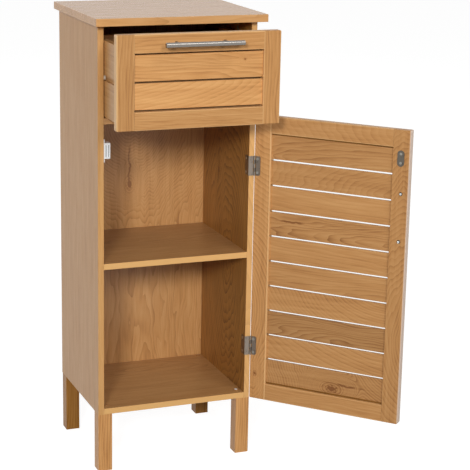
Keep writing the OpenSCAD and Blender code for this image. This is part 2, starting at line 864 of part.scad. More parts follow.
module handle_screws() {
    slot_w = 0.8;
    slot_z = bolt_head_h * 0.5;
    for (dz = post_ends) {
        rod_y([0, -bolt_in_post, dz], bolt_in_post + front_t + small, bolt_r);
        translate([0, front_t, dz]) rotate([-90, 0, 0]) difference() {
            rotate_extrude() polygon([
                [0, 0], [bolt_head_r, 0], [bolt_head_r * 0.92, slot_z],
                [bolt_head_r * 0.6, bolt_head_h], [0, bolt_head_h]
            ]);
            for (a = [0, 90]) rotate([0, 0, a])
                translate([-bolt_head_r / 2, -slot_w / 2, slot_z]) cube([bolt_head_r, slot_w, bolt_head_h]);
        }
    }
}

module on_door_handle() {
    hung_door() translate([door_handle_in, front_y, door_handle_z]) children();
}

module door_handle_bar() { color(steel) on_door_handle() handle_bar(); }
module door_handle_posts() { color(steel) on_door_handle() handle_posts(); }
module door_handle_screws() { color(zinc) on_door_handle() handle_screws(); }

// The drawer is drawn shut and slid out
module slid_drawer() { translate([0, -drawer_open, 0]) children(); }

module drawer_left_stile() {
    color(oak_front) slid_drawer() front_stile(drawer_front_z, drawer_front_h);
}

module drawer_right_stile() {
    color(oak_front) slid_drawer()
        translate([cabinet_w, 0, 0]) mirror([1, 0, 0]) front_stile(drawer_front_z, drawer_front_h);
}

module drawer_top_rail() {
    color(oak_front) slid_drawer() difference() {
        upper_rail(drawer_front_z, drawer_front_h);
        for (dx = post_ends)
            rod_y([drawer_handle_x + dx, front_y - 1, drawer_handle_z], front_t + 2, bolt_r + hole_clear);
        at_front_screws() drawer_screw_hole();
    }
}

module drawer_bottom_rail() {
    color(oak_front) slid_drawer() difference() {
        lower_rail(drawer_front_z, drawer_front_h);
        at_front_screws() drawer_screw_hole();
    }
}

module drawer_slat(i) {
    color(oak_front) slid_drawer() front_slat(drawer_front_z, drawer_front_h, drawer_slats, i);
}

// Room for the drawer's bottom in the boards around it
module drawer_bottom_room() {
    translate([drawer_inner_x - drawer_bottom_groove, -front_clear + drawer_side_t - drawer_bottom_groove,
        drawer_floor_z - joint_clear / 2])
        cube([drawer_inner_w + 2 * drawer_bottom_groove, drawer_box_len, drawer_bottom_t + joint_clear]);
}

// Screws at the drawer's corners, their heads on the floor of the groove for the runner strip
module at_corner_screws() {
    both_sides() for (y = drawer_corner_ys)
        translate([drawer_x + runner_groove_deep, y, runner_groove_z + runner_groove_h / 2])
            rotate([0, -90, 0]) children();
}

// Screws from the inner front into the front's rails
module at_front_screws() {
    for (s = [-1, 1], z = drawer_screw_zs)
        translate([drawer_handle_x + s * drawer_screw_out, -front_clear + drawer_side_t, z])
            rotate([-90, 0, 0]) children();
}

module drawer_screw() { screw(drawer_screw_len, screw_r, screw_head_r); }
module drawer_screw_hole() { screw_hole(drawer_screw_len, screw_r, screw_head_r); }

module drawer_side() {
    difference() {
        bar_y([drawer_x, -front_clear, drawer_z], drawer_box_len,
            bar_outline(drawer_side_t, drawer_side_h, board_edge_r, board_edge_r));
        at_corner_screws() drawer_screw_hole();
        translate([drawer_x - 1, -front_clear - 1, runner_groove_z])
            cube([runner_groove_deep + 1, drawer_box_len + 2, runner_groove_h]);
        drawer_bottom_room();
    }
}

module drawer_left_side() { color(oak_inside) slid_drawer() drawer_side(); }

module drawer_right_side() {
    color(oak_inside) slid_drawer() translate([cabinet_w, 0, 0]) mirror([1, 0, 0]) drawer_side();
}

module drawer_inner_front() {
    color(oak_inside) slid_drawer() difference() {
        bar_x([drawer_inner_x, -front_clear, drawer_z], drawer_inner_w,
            bar_outline(drawer_side_t, inner_front_top_z - drawer_z, board_edge_r, board_edge_r));
        drawer_bottom_room();
        at_corner_screws() drawer_screw_hole();
        at_front_screws() drawer_screw_hole();
    }
}

module drawer_back() {
    back_z = drawer_floor_top_z + joint_clear / 2;
    high = drawer_z + drawer_side_h - drawer_back_drop - back_z;
    color(oak_inside) slid_drawer() difference() {
        bar_x([drawer_inner_x, drawer_back_y - drawer_side_t, back_z], drawer_inner_w,
            bar_outline(drawer_side_t, high, board_edge_r, board_edge_r));
        at_corner_screws() drawer_screw_hole();
    }
}

module drawer_bottom() {
    tuck = drawer_bottom_groove - joint_clear;
    front_edge_y = -front_clear + drawer_side_t - tuck;
    color(oak_inside) slid_drawer()
        translate([drawer_inner_x - tuck, front_edge_y, drawer_floor_z])
            cube([drawer_inner_w + 2 * tuck, drawer_back_y - front_edge_y, drawer_bottom_t]);
}

module drawer_screws() {
    color(zinc) slid_drawer() {
        at_front_screws() drawer_screw();
        at_corner_screws() drawer_screw();
    }
}

module on_drawer_handle() {
    slid_drawer() translate([drawer_handle_x, front_y, drawer_handle_z]) rotate([0, 90, 0]) children();
}

module drawer_handle_bar() { color(steel) on_drawer_handle() handle_bar(); }
module drawer_handle_posts() { color(steel) on_drawer_handle() handle_posts(); }
module drawer_handle_screws() { color(zinc) on_drawer_handle() handle_screws(); }

top_board();
left_side();
right_side();
bottom_board();
drawer_divider();
shelf();
back_panel();
leg_front_left();
leg_front_right();
leg_back_left();
leg_back_right();
leg_screws();
leg_screw_caps();
board_dowels();
cam_locks();
cam_bolts();
runner_left();
runner_right();
cabinet_small_screws();
hinge_upper_side_leaf();
hinge_lower_side_leaf();
hinge_pins();
catch_body();
catch_poles();
door_hinge_stile();
door_free_stile();
door_top_rail();
door_bottom_rail();
for (i = [1:door_slats]) door_slat(i);
hinge_upper_door_leaf();
hinge_lower_door_leaf();
strike_plate();
door_small_screws();
door_handle_bar();
door_handle_posts();
door_handle_screws();
drawer_left_stile();
drawer_right_stile();
drawer_top_rail();
drawer_bottom_rail();
for (i = [1:drawer_slats]) drawer_slat(i);
drawer_inner_front();
drawer_left_side();
drawer_right_side();
drawer_back();
drawer_bottom();
drawer_screws();
drawer_handle_bar();
drawer_handle_posts();
drawer_handle_screws();
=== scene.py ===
# Looks of the narrow bathroom cabinet: oak-effect foil on every board, satin nickel handles, plated
# hinges and screws, a white catch, soft studio light. Lengths in the shaders are millimetres.
import json
import math
import random

import bmesh
import bpy
from mathutils import Matrix, Vector


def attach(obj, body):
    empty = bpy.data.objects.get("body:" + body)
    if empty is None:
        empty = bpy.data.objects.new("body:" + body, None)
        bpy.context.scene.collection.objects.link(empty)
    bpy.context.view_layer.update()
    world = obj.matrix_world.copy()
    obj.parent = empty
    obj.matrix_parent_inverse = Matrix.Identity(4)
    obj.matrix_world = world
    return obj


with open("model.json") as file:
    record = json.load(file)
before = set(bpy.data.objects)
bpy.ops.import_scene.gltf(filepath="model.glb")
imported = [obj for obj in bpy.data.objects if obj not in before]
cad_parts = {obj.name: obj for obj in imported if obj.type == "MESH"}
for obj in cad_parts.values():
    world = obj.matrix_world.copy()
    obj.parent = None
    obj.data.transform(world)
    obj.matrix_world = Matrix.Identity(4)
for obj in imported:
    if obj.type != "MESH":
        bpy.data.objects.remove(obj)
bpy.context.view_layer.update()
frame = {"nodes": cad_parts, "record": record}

MM = 0.001
WHITE = (1.0, 1.0, 1.0, 1.0)


# Colours and places

def srgb(red, green, blue):
    """A colour as it reads on screen, 0 to 255, as the linear colour that a shader takes."""
    def linear(level):
        level = level / 255
        return level / 12.92 if level <= 0.04045 else ((level + 0.055) / 1.055) ** 2.4
    return (linear(red), linear(green), linear(blue), 1.0)


def shade(colour, factor):
    """The same colour, lighter or darker."""
    return tuple(min(1.0, part * factor) for part in colour[:3]) + (1.0,)


behaviour = frame["record"]["behaviour"]
door_nodes = set(behaviour["bodies"]["door"])
door_hinge = {joint["name"]: joint for joint in behaviour["joints"]}["door_hinge"]
hinge_axis = Vector(door_hinge["pos_m"])
door_opening = math.radians(-door_hinge["range_deg"][0])


def door_turn(angle):
    """A turn of the door about its hinges."""
    return Matrix.Translation(hinge_axis) @ Matrix.Rotation(angle, 4, "Z") @ Matrix.Translation(-hinge_axis)


def shut_box(node):
    """Middle and size of a node in millimetres, with the door turned shut."""
    back = door_turn(-door_opening) if node in door_nodes else Matrix.Identity(4)
    corners = [back @ vertex.co for vertex in frame["nodes"][node].data.vertices]
    low = [min(corner[i] for corner in corners) / MM for i in range(3)]
    high = [max(corner[i] for corner in corners) / MM for i in range(3)]
    return [(a + b) / 2 for a, b in zip(low, high)], [b - a for a, b in zip(low, high)]


# Shader maths

class Value:
    """A socket of a node tree. Arithmetic on it adds Math nodes."""

    def __init__(self, graph, socket):
        self.graph = graph
        self.socket = socket

    def math(self, operation, *others, clamp=False):
        values = dict(enumerate((self,) + others))
        return self.graph.add("ShaderNodeMath", {"operation": operation, "use_clamp": clamp}, values)

    def __add__(self, other):
        return self.math("ADD", other)

    def __radd__(self, other):
        return self.math("ADD", other)

    def __sub__(self, other):
        return self.math("SUBTRACT", other)

    def __rsub__(self, other):
        return self.graph.add("ShaderNodeMath", {"operation": "SUBTRACT"}, {0: other, 1: self})

    def __mul__(self, other):
        return self.math("MULTIPLY", other)

    def __truediv__(self, other):
        return self.math("DIVIDE", other)

    def __pow__(self, other):
        return self.math("POWER", other)

    def root(self):
        return self.math("SQRT")

    def whole(self):
        return self.math("FLOOR")

    def part(self):
        return self.math("FRACT")

    def size(self):
        return self.math("ABSOLUTE")

    def held(self):
        """Kept between 0 and 1."""
        return self.math("ADD", 0.0, clamp=True)

    def rise(self, low, high):
        """0 below low, 1 above high, and a smooth rise between."""
        values = {"Value": self, "From Min": low, "From Max": high, "To Min": 0.0, "To Max": 1.0}
        return self.graph.add("ShaderNodeMapRange", {"interpolation_type": "SMOOTHSTEP"}, values)

    def fall(self, low, high):
        """1 below low, 0 above high, and a smooth fall between."""
        return 1 - self.rise(low, high)

    def near_end(self, half_size, band):
        """For a distance from the middle: 1 at the end, half_size away, and 0 further in than the band."""
        return self.rise(half_size - band[0], half_size - band[1])


class Graph:
    """A node tree. add() makes any node, sets it up and gives back one of its outputs."""

    def __init__(self, tree):
        self.tree = tree

    def add(self, kind, settings=None, values=None, out=0):
        node = self.tree.nodes.new(kind)
        for key, setting in (settings or {}).items():
            setattr(node, key, setting)
        for key, value in (values or {}).items():
            self.join(node.inputs[key], value)
        return Value(self, node.outputs[out])

    def join(self, socket, value):
        if isinstance(value, Value):
            self.tree.links.new(value.socket, socket)
        else:
            socket.default_value = value

    def outputs(self, kind, names, values=None):
        """Several outputs of one node."""
        node = self.add(kind, {}, values).socket.node
        return [Value(self, node.outputs[name]) for name in names]

    def vector(self, along, across, deep):
        return self.add("ShaderNodeCombineXYZ", {}, {0: along, 1: across, 2: deep})

    def stretched(self, place, sizes):
        """A place divided by a size along each of its directions."""
        scales = [1 / size for size in sizes]
        return self.add("ShaderNodeVectorMath", {"operation": "MULTIPLY"}, {0: place, 1: scales})

    def noise(self, place, sizes, detail=2.0, rough=0.5):
        """Soft noise from 0 to 1 whose patches have about the given sizes."""
        values = {"Vector": self.stretched(place, sizes), "Scale": 1.0, "Detail": detail, "Roughness": rough}
        return self.add("ShaderNodeTexNoise", {}, values)

    def mix(self, factor, first, second):
        """Two colours mixed. The node's sockets 6 and 7 and its output 2 are those for colours."""
        return self.add("ShaderNodeMix", {"data_type": "RGBA"}, {0: factor, 6: first, 7: second}, out=2)

    def ramp(self, factor, stops):
        """Colours that follow a factor from 0 to 1; stops are pairs of a place and a colour."""
        colours = self.add("ShaderNodeValToRGB", {}, {"Fac": factor})
        elements = colours.socket.node.color_ramp.elements
        while len(elements) < len(stops):
            elements.new(1.0)
        for element, (place, colour) in zip(elements, stops):
            element.position = place
            element.color = colour
        return colours

    def bump(self, height, depth, strength):
        """Surface relief: a height from 0 to 1 that stands for a depth in millimetres."""
        values = {"Height": height, "Distance": depth * MM, "Strength": strength}
        return self.add("ShaderNodeBump", {}, values)

    def sees_straight(self):
        """1 for what the camera sees, directly, in a reflection or through glass; 0 for light on its way."""
        rays = self.outputs("ShaderNodeLightPath", ("Is Camera Ray", "Is Glossy Ray", "Is Transmission Ray"))
        return (rays[0] + rays[1] + rays[2]).held()


class Finish(Graph):
    """One material, on its principled shader."""

    def __init__(self, name):
        self.material = bpy.data.materials.new(name)
        self.material.use_nodes = True
        super().__init__(self.material.node_tree)
        self.shader = self.tree.nodes["Principled BSDF"]

    def set(self, **values):
        """Values for the shader's own sockets, with their names in lower case."""
        names = {name.lower().replace(" ", "_"): name for name in self.shader.inputs.keys()}
        for key, value in values.items():
            self.join(self.shader.inputs[names[key]], value)

    def place(self, door=False):
        """The place on the object in millimetres, on the door as if it were shut."""
        spot = self.add("ShaderNodeTexCoord", out="Object")
        if door:
            values = {"Vector": spot, "Center": hinge_axis, "Angle": -door_opening}
            spot = self.add("ShaderNodeVectorRotate", {"rotation_type": "Z_AXIS"}, values)
        return self.stretched(spot, (MM, MM, MM))


# Oak-effect foil

# Palettes of the foil. edge is the colour of the painted highlight on rounded long edges.
FRONT_OAK = {"light": srgb(207, 158, 103), "middle": srgb(188, 136, 82), "dark": srgb(134, 85, 45),
             "edge": srgb(236, 192, 136), "gloss": 0.2}
BOARD_OAK = {"light": srgb(211, 164, 110), "middle": srgb(195, 144, 88), "dark": srgb(146, 97, 53),
             "edge": srgb(224, 174, 106), "gloss": 0.5}
# A darker, redder copy of the board's oak: painted shade for faces inside and under the cabinet and in the
# door's slots
SHADED_OAK = {"light": srgb(171, 122, 62), "middle": srgb(155, 106, 46), "dark": srgb(96, 55, 18),
             "edge": srgb(180, 134, 78), "gloss": 0.15}
# The painted highlight on the door's free edge, a pale grey
FREE_EDGE_HIGHLIGHT = srgb(218, 194, 174)

# Where a palette's colours lie between the print's lightest and darkest place
STOPS = {"light": 0.0, "middle": 0.45, "dark": 1.0}
# Patch sizes of the print's noises, along, across and into a board
WANDER = (170, 40, 40)
WAVE = (110, 34, 34)
BANDS = (240, 18, 18)
STREAKS = (70, 4.5, 4.5)
PORES = (7.0, 0.45, 0.45)
# Each board takes its print from another part of the noises, up to this far away
PRINT_SHIFT = 900
# How far the noises move the rings to the side and in depth
SWAY = {"side": 30, "sink": 34, "wave": 5}
# How strongly each ring darkens towards its outer side
LATE_WOOD = 1.7
# How dark each part of the print is, and the painted shadow that a stile casts on a slat's end
INK = {"ground": 0.28, "bands": 0.5, "streaks": 0.75, "lines": 0.42, "pores": 0.14, "seam": 0.6,
       "knot": 0.75, "halo": 0.16, "crack": 0.55}
# How much rougher the streaks and pores are, and how deep the pores and lines lie in the relief
ROUGHER = {"streaks": 0.14, "pores": 0.15}
SUNK = {"pores": 0.9, "lines": 0.25}
# How far in from a board's end its rounded edge, with its painted highlight, and its other face, with its
# painted shade, begin, and where they are full; a stile's painted shadow takes the first band
ROUNDED = (2.6, 0.8)
FACE = (0.7, 0.3)
# A knot: the spacing of its rings, where they give way to the board's and where its dark heart and its
# halo end, in radii, and how far its heart is torn. A distance along the fibres counts only in part.
KNOT_SPACING = 4.6
KNOT_BLEND = (0.9, 3.0)
KNOT_HEART = (0.1, 0.6)
KNOT_HALO = (0.5, 1.7)
KNOT_TORN = {"patch": (6, 4, 4), "reach": 1.6}
ALONG_SHARE = {"rings": 0.4, "heart": 0.5}
# A crack: its half width, how far it sways, and the parts of its length between which it fades out
CRACK_WIDTH = (0.4, 3.2)
CRACK_SWAY = {"patch": (22, 60, 60), "reach": 14}
CRACK_FADE = (0.25, 0.5)


def oak(node, grain, colours, tone=1.0, heart=(60.0, 30.0), slope=0.12, lift=None, spacing=6.0, figure=1.0,
        knots=(), cracks=(), behind=None, edges=(0, 0), seam=0, roughness=0.36):
    """A board's foil. grain is the axis that the fibres follow, and tone and figure say how light the print
    is and how strong its lines are. heart is the tree's heart: how far to the side of the board's middle and
    how deep behind it. slope is how fast the heart sinks along the board, and lift, (from, to, height),
    brings it up over a stretch. spacing is the distance between rings. A knot is (along, across, radius) and
    a crack (along, across, length), from the board's middle. behind is (-1 or 1, colours, tone) for the face
    towards that end of the thickness, which is printed in those colours as painted shade. edges is how
    strongly each of the long rounded edges is lightened as a painted highlight, and seam, -1 or 1, is the end
    where a dark band is painted as the shadow of a stile that stands proud of the board."""
    chance = random.Random(node)
    finish = Finish("oak_" + node)
    middle, size = shut_box(node)
    first = "xyz".index(grain)
    order = [first] + sorted({0, 1, 2} - {first}, key=lambda i: -size[i])
    axes = finish.outputs("ShaderNodeSeparateXYZ", "XYZ", {0: finish.place(node in door_nodes)})
    along, across, deep = [axes[i] - middle[i] for i in order]
    half_length, half_width, half_thickness = [size[i] / 2 for i in order]
    shift = [chance.uniform(-PRINT_SHIFT, PRINT_SHIFT) for _ in range(3)]
    spot = finish.vector(along + shift[0], across + shift[1], deep + shift[2])

    wander = finish.noise(spot, WANDER) - 0.5
    wave = finish.noise(spot, WAVE, detail=1.0) - 0.5
    side = across - heart[0] + wander * SWAY["side"]
    sink = along * slope + heart[1] + wander * SWAY["sink"] + wave * SWAY["wave"] + deep
    if lift:
        start, end, height = lift
        sink = sink - along.rise(start, end) * height
    rings = (side * side + sink * sink).root() / spacing
    for knot in knots:
        rings = around_knot(rings, along, across, knot)
    late = rings.part() ** LATE_WOOD
    own = finish.add("ShaderNodeTexWhiteNoise", {"noise_dimensions": "1D"}, {"W": rings.whole()})
    lines = late * (own * 0.5 + 0.5)

    bands = finish.noise(spot, BANDS) - 0.5
    streaks = finish.noise(spot, STREAKS, detail=4.0, rough=0.62) - 0.5
    pores = finish.noise(spot, PORES, detail=1.0).rise(0.60, 0.72) * (1.1 - late)
    dark = bands * INK["bands"] + streaks * INK["streaks"] + lines * INK["lines"] * figure
    dark = dark + pores * INK["pores"] + INK["ground"]
    for knot in knots:
        dark = dark + knot_heart(finish, along, across, knot)
    for crack in cracks:
        dark = dark + dark_crack(finish, along, across, crack)
    # Painted shadow: a dark band at the end where a stile stands proud of the board.
    if seam:
        dark = dark + (along * seam).near_end(half_length, ROUNDED) * INK["seam"]

    def printed(inks, level):
        stops = [(stop, shade(inks[ink], level)) for ink, stop in STOPS.items()]
        return finish.ramp(dark.held(), stops)

    colour = printed(colours, tone)
    # Painted highlight: each long rounded edge is lightened towards the palette's edge colour.
    for end, pale in zip((-1, 1), edges):
        if pale:
            rounded = (across * end).near_end(half_width, ROUNDED)
            colour = finish.mix(rounded * pale, colour, colours["edge"])
    # Painted shade: the face towards that end of the thickness takes a darker print.
    if behind:
        end, inks, level = behind
        face = (deep * end).near_end(half_thickness, FACE)
        colour = finish.mix(face, colour, printed(inks, level))
    relief = streaks - pores * SUNK["pores"] - lines * SUNK["lines"]
    finish.set(base_color=colour, specular_ior_level=colours["gloss"],
               roughness=streaks * ROUGHER["streaks"] + pores * ROUGHER["pores"] + roughness,
               normal=finish.bump(relief, depth=0.06, strength=0.5))
    return finish.material


def around_knot(rings, along, across, knot):
    """Rings that bend round a knot."""
    at_along, at_across, radius = knot
    off = ((along - at_along) ** 2 * ALONG_SHARE["rings"] + (across - at_across) ** 2).root()
    near = (off / radius).fall(*KNOT_BLEND)
    return rings * (1 - near) + off / KNOT_SPACING * near


def knot_heart(finish, along, across, knot):
    """A knot's dark, torn middle, with a faint halo."""
    at_along, at_across, radius = knot
    flat = finish.vector(along, across, 0.0)
    torn = (finish.noise(flat, KNOT_TORN["patch"], detail=3.0) - 0.5) * KNOT_TORN["reach"]
    off = ((along - at_along) ** 2 * ALONG_SHARE["heart"] + (across - at_across) ** 2).root() / radius + torn
    return off.fall(*KNOT_HEART) * INK["knot"] + off.fall(*KNOT_HALO) * INK["halo"]


def dark_crack(finish, along, across, crack):
    """A thin dark line along the fibres, that wanders and fades out at its ends."""
    at_along, at_across, length = crack
    flat = finish.vector(along, across, 0.0)
    sway = (finish.noise(flat, CRACK_SWAY["patch"], detail=3.0) - 0.5) * CRACK_SWAY["reach"]
    thin = (across - at_across + sway).size().fall(*CRACK_WIDTH)
    return thin * ((along - at_along).size() / length).fall(*CRACK_FADE) * INK["crack"]


# Beech, metals and plastics

NICKEL = srgb(132, 127, 121)
PLATE = srgb(138, 127, 116)
# A darker copy of the hinge plate: painted shade on the hinge leaves on the door
SHADED_PLATE = srgb(108, 98, 88)
STRIKE_PLATE = srgb(96, 90, 82)
STEEL = srgb(134, 137, 138)
ZINC = srgb(205, 204, 200)
DULL_ZINC = srgb(142, 138, 130)
CATCH_WHITE = srgb(236, 237, 236)
RUNNER_CREAM = srgb(214, 203, 184)
CAP_BROWN = srgb(158, 112, 66)
CAP_WHITE = srgb(240, 240, 236)
# A leg cap's radius and the ring in which its white middle ends, and the ring round a handle screw's head
# where its painted shadow begins
CAP_RADIUS = 5
CAP_WHITE_END = (3.0, 4.2)
HEAD_SHADOW_RIM = (1.9, 2.7)


def drawn_out(axis, along, across):
    """Patch sizes of a noise that is drawn out along one axis."""
    return [along if letter == axis else across for letter in "xyz"]


def beech(node, grain):
    """Turned beech with dark flecks."""
    finish = Finish("beech_" + node)
    spot = finish.place()
    fibres = finish.noise(spot, drawn_out(grain, 26, 0.8), detail=3.0)
    flecks = finish.noise(spot, drawn_out(grain, 10.4, 0.32), detail=1.0).rise(0.62, 0.7)
    colour = finish.ramp(fibres, [(0.25, srgb(228, 196, 150)), (0.8, srgb(196, 158, 112))])
    finish.set(base_color=finish.mix(flecks * 0.5, colour, srgb(160, 116, 74)), roughness=0.62 + fibres * 0.1,
               normal=finish.bump(fibres, depth=0.04, strength=0.4))
    return finish.material


def brushed(node, colour, brushing, roughness=0.30, marks=0.0):
    """Plated or satin metal, with fine lines that run along one axis and a few handling marks."""
    finish = Finish("metal_" + node)
    spot = finish.place(node in door_nodes)
    lines = finish.noise(spot, drawn_out(brushing, 14, 0.16))
    clouds = finish.noise(spot, (9, 9, 9), detail=3.0)
    worn = clouds.rise(0.52, 0.75) * marks
    base = finish.mix(lines * 0.35, colour, shade(colour, 0.72))
    finish.set(base_color=finish.mix(worn, base, shade(colour, 0.45)), metallic=1.0,
               roughness=roughness + lines * 0.10 + clouds * 0.08 + worn * 0.2,
               normal=finish.bump(lines, depth=0.012, strength=0.5))
    return finish.material


def moulded(node, colour, roughness=0.38):
    """Moulded plastic: a fine grain, and patches that are a little darker and duller."""
    finish = Finish("plastic_" + node)
    spot = finish.place()
    grain = finish.noise(spot, (0.35, 0.35, 0.35))
    patches = finish.noise(spot, (14, 14, 14))
    finish.set(base_color=finish.mix(patches * 0.5, colour, shade(colour, 0.88)),
               roughness=roughness + patches * 0.12, normal=finish.bump(grain, depth=0.02, strength=0.35))
    return finish.material


def leg_caps(node):
    """Cover caps in the foil's brown. The one at the right front is white in its middle."""
    finish = Finish("plastic_" + node)
    middle, size = shut_box(node)
    spot = finish.place()
    x, y = finish.outputs("ShaderNodeSeparateXYZ", "XY", {0: spot})
    off_x = x - (middle[0] + size[0] / 2 - CAP_RADIUS)
    off_y = y - (middle[1] - size[1] / 2 + CAP_RADIUS)
    grain = finish.noise(spot, (0.5, 0.5, 0.5))
    white = (off_x * off_x + off_y * off_y).root().fall(*CAP_WHITE_END)
    finish.set(base_color=finish.mix(white, CAP_BROWN, CAP_WHITE),
               roughness=grain * 0.2 + 0.3, normal=finish.bump(grain, depth=0.02, strength=0.35))
    return finish.material


def screw_heads(node, apart):
    """Screws painted near-black as shade; two heads that lie one above the other, this far apart, are bright
    inside their rim.
    """
    finish = Finish("metal_" + node)
    middle = shut_box(node)[0]
    spot = finish.place(node in door_nodes)
    x, z = finish.outputs("ShaderNodeSeparateXYZ", "XZ", {0: spot})
    off = ((x - middle[0]) ** 2 + ((z - middle[2]).size() - apart / 2) ** 2).root()
    scuffs = finish.noise(spot, (0.6, 0.6, 0.6), detail=3.0)
    finish.set(base_color=finish.mix(off.rise(*HEAD_SHADOW_RIM), ZINC, shade(STEEL, 0.2)), metallic=1.0,
               roughness=scuffs * 0.2 + 0.2, normal=finish.bump(scuffs, depth=0.02, strength=0.4))
    return finish.material


# Every node's finish

HANDLE_SCREWS_APART = 96
# How strongly a painted highlight lightens the front and back edges of the shelf and the bottom board
FRONT_EDGE_HIGHLIGHTS = (0.85, 0)
dressed = set()


def dress(node, material):
    mesh = frame["nodes"][node].data
    if not mesh.materials:
        mesh.materials.append(material)
    for i in range(len(mesh.materials)):
        mesh.materials[i] = material
    dressed.add(node)


def dress_board(node, grain, colours, **look):
    dress(node, oak(node, grain, colours, **look))


def dress_cabinet():
    dress_board("top_board", "x", dict(BOARD_OAK, gloss=0.4), tone=1.09, heart=(90, 40), slope=0.05,
                spacing=7, roughness=0.26)
    # The sides' front edges carry a painted highlight, and the right side's inner face is printed in the
    # darker oak as painted shade.
    dress_board("left_side", "z", dict(BOARD_OAK, gloss=0.22), tone=0.95, heart=(-150, 60), slope=0.04,
                spacing=8, figure=0.4, edges=(0.2, 0))
    dress_board("right_side", "z", BOARD_OAK, heart=(-30, 60), slope=0.42, spacing=8, figure=1.7,
                knots=((-105, -60, 9), (60, 30, 5)), cracks=((90, 30, 120),), behind=(-1, SHADED_OAK, 1.06),
                edges=(0.6, 0))
    # The bottom board and the shelf are printed darker as painted shade inside the cabinet; their front edges
    # carry a painted highlight.
    dress_board("bottom_board", "x", BOARD_OAK, tone=0.76, heart=(60, 30), slope=0.06, edges=FRONT_EDGE_HIGHLIGHTS)
    dress_board("drawer_divider", "x", BOARD_OAK, heart=(-40, 30), slope=0.06)
    dress_board("shelf", "x", BOARD_OAK, tone=0.69, heart=(30, 20), slope=0.08, edges=FRONT_EDGE_HIGHLIGHTS)
    dress_board("back_panel", "z", BOARD_OAK, tone=0.94, heart=(-10, 150), slope=0.0, lift=(-90, 190, 150),
                spacing=4.8, figure=1.1, knots=((12, -16, 12),), cracks=((60, -16, 90),))
    # The back legs are printed in the darker oak as painted shade under the cabinet.
    for end, colours, tone in (("front", FRONT_OAK, 1.14), ("back", SHADED_OAK, 1.18)):
        for hand in ("left", "right"):
            dress_board(f"leg_{end}_{hand}", "z", colours, tone=tone, heart=(40, 30), slope=0.06, spacing=5)
    dress("board_dowels", beech("board_dowels", "x"))
    for name in ("leg_screws", "cam_locks", "cam_bolts", "cabinet_small_screws"):
        dress(name, brushed(name, ZINC, "z", roughness=0.26, marks=0.3))
    for name in ("hinge_upper_side_leaf", "hinge_lower_side_leaf", "hinge_pins"):
        dress(name, brushed(name, PLATE, "z", marks=0.8))
    dress("catch_poles", brushed("catch_poles", STEEL, "z"))
    dress("catch_body", moulded("catch_body", CATCH_WHITE))
    dress("leg_screw_caps", leg_caps("leg_screw_caps"))
    for name in ("runner_left", "runner_right"):
        dress(name, moulded(name, RUNNER_CREAM, roughness=0.5))


# The slats from top to bottom
DOOR_SLATS = [
    {"tone": 0.88, "heart": (-90, 30), "slope": 0.34, "spacing": 6.5},
    {"tone": 0.90, "heart": (-60, 120), "slope": 0.55, "spacing": 8.0, "figure": 0.7},
    {"tone": 0.96, "heart": (110, 30), "slope": 0.20, "spacing": 9.0, "figure": 0.6},
    {"tone": 0.89, "heart": (-14, 14), "slope": 0.12, "spacing": 4.5, "figure": 1.3,
     "cracks": ((80, 8, 60),)},
    {"tone": 0.95, "heart": (130, 20), "slope": 0.15, "spacing": 8.0, "figure": 0.7},
    {"tone": 0.92, "heart": (-120, 30), "slope": 0.25, "spacing": 6.5, "figure": 0.8},
    {"tone": 0.95, "heart": (90, 90), "slope": 0.75, "spacing": 6.0, "figure": 0.9},
    {"tone": 0.77, "heart": (-50, 20), "slope": 0.12, "spacing": 5.0, "figure": 1.4},
    {"tone": 0.95, "heart": (100, 80), "slope": 0.45, "spacing": 7.0, "figure": 0.9},
    {"tone": 0.87, "heart": (60, 140), "slope": 0.95, "spacing": 5.5, "figure": 1.3,
     "knots": ((-18, -14, 16),), "cracks": ((-50, -4, 46),)},
]
# The frame's edges are painted highlights on its rounded long edges; the free stile's is pale grey.
DOOR_FRAME = {
    "door_hinge_stile": {"tone": 1.04, "heart": (70, 60), "slope": 0.62, "edges": (0.75, 0), "figure": 1.1,
                         "knots": ((-245, 6, 6),)},
    "door_free_stile": {"colours": dict(FRONT_OAK, edge=FREE_EDGE_HIGHLIGHT), "tone": 0.90, "heart": (-60, 60),
                        "slope": 0.58, "edges": (0.9, 0)},
    "door_top_rail": {"tone": 0.94, "heart": (40, 140), "slope": 0.5, "spacing": 8, "figure": 0.6,
                      "edges": (0.3, 0.3)},
    "door_bottom_rail": {"tone": 0.98, "heart": (-110, 30), "slope": 0.1, "spacing": 5,
                         "edges": (0.3, 0.3), "figure": 0.8},
}
# The edges are painted highlights on the front's rounded long edges.
DRAWER_FRONT = {
    "drawer_left_stile": {"tone": 0.91, "heart": (70, 30), "slope": 0.10, "edges": (0.8, 0.2)},
    "drawer_right_stile": {"tone": 0.99, "heart": (-80, 30), "slope": 0.08, "spacing": 7,
                           "edges": (0.4, 0.5)},
    "drawer_top_rail": {"tone": 1.04, "heart": (90, 30), "slope": 0.06, "edges": (0.2, 0.6), "figure": 0.8},
    "drawer_bottom_rail": {"tone": 0.96, "heart": (-90, 30), "slope": 0.05, "spacing": 5,
                           "edges": (0.4, 0.4), "figure": 0.8},
    "drawer_slat_01": {"tone": 1.13, "heart": (-70, 30), "spacing": 7, "figure": 0.9,
                       "knots": ((92, 10, 3),)},
    "drawer_slat_02": {"tone": 1.17, "heart": (60, 60), "slope": 0.35, "spacing": 6, "figure": 0.7},
}


def dress_front(looks):
    """The boards of a front, whose stiles stand up and whose rails and slats lie across."""
    for name, look in looks.items():
        grain = "z" if name.endswith("stile") else "x"
        dress_board(name, grain, **{"colours": FRONT_OAK, **look})


def dress_handle(front, bar_axis, screws_apart):
    dress(front + "_handle_bar", brushed(front + "_handle_bar", NICKEL, bar_axis, roughness=0.16))
    dress(front + "_handle_posts", brushed(front + "_handle_posts", NICKEL, "y"))
    dress(front + "_handle_screws", screw_heads(front + "_handle_screws", screws_apart))


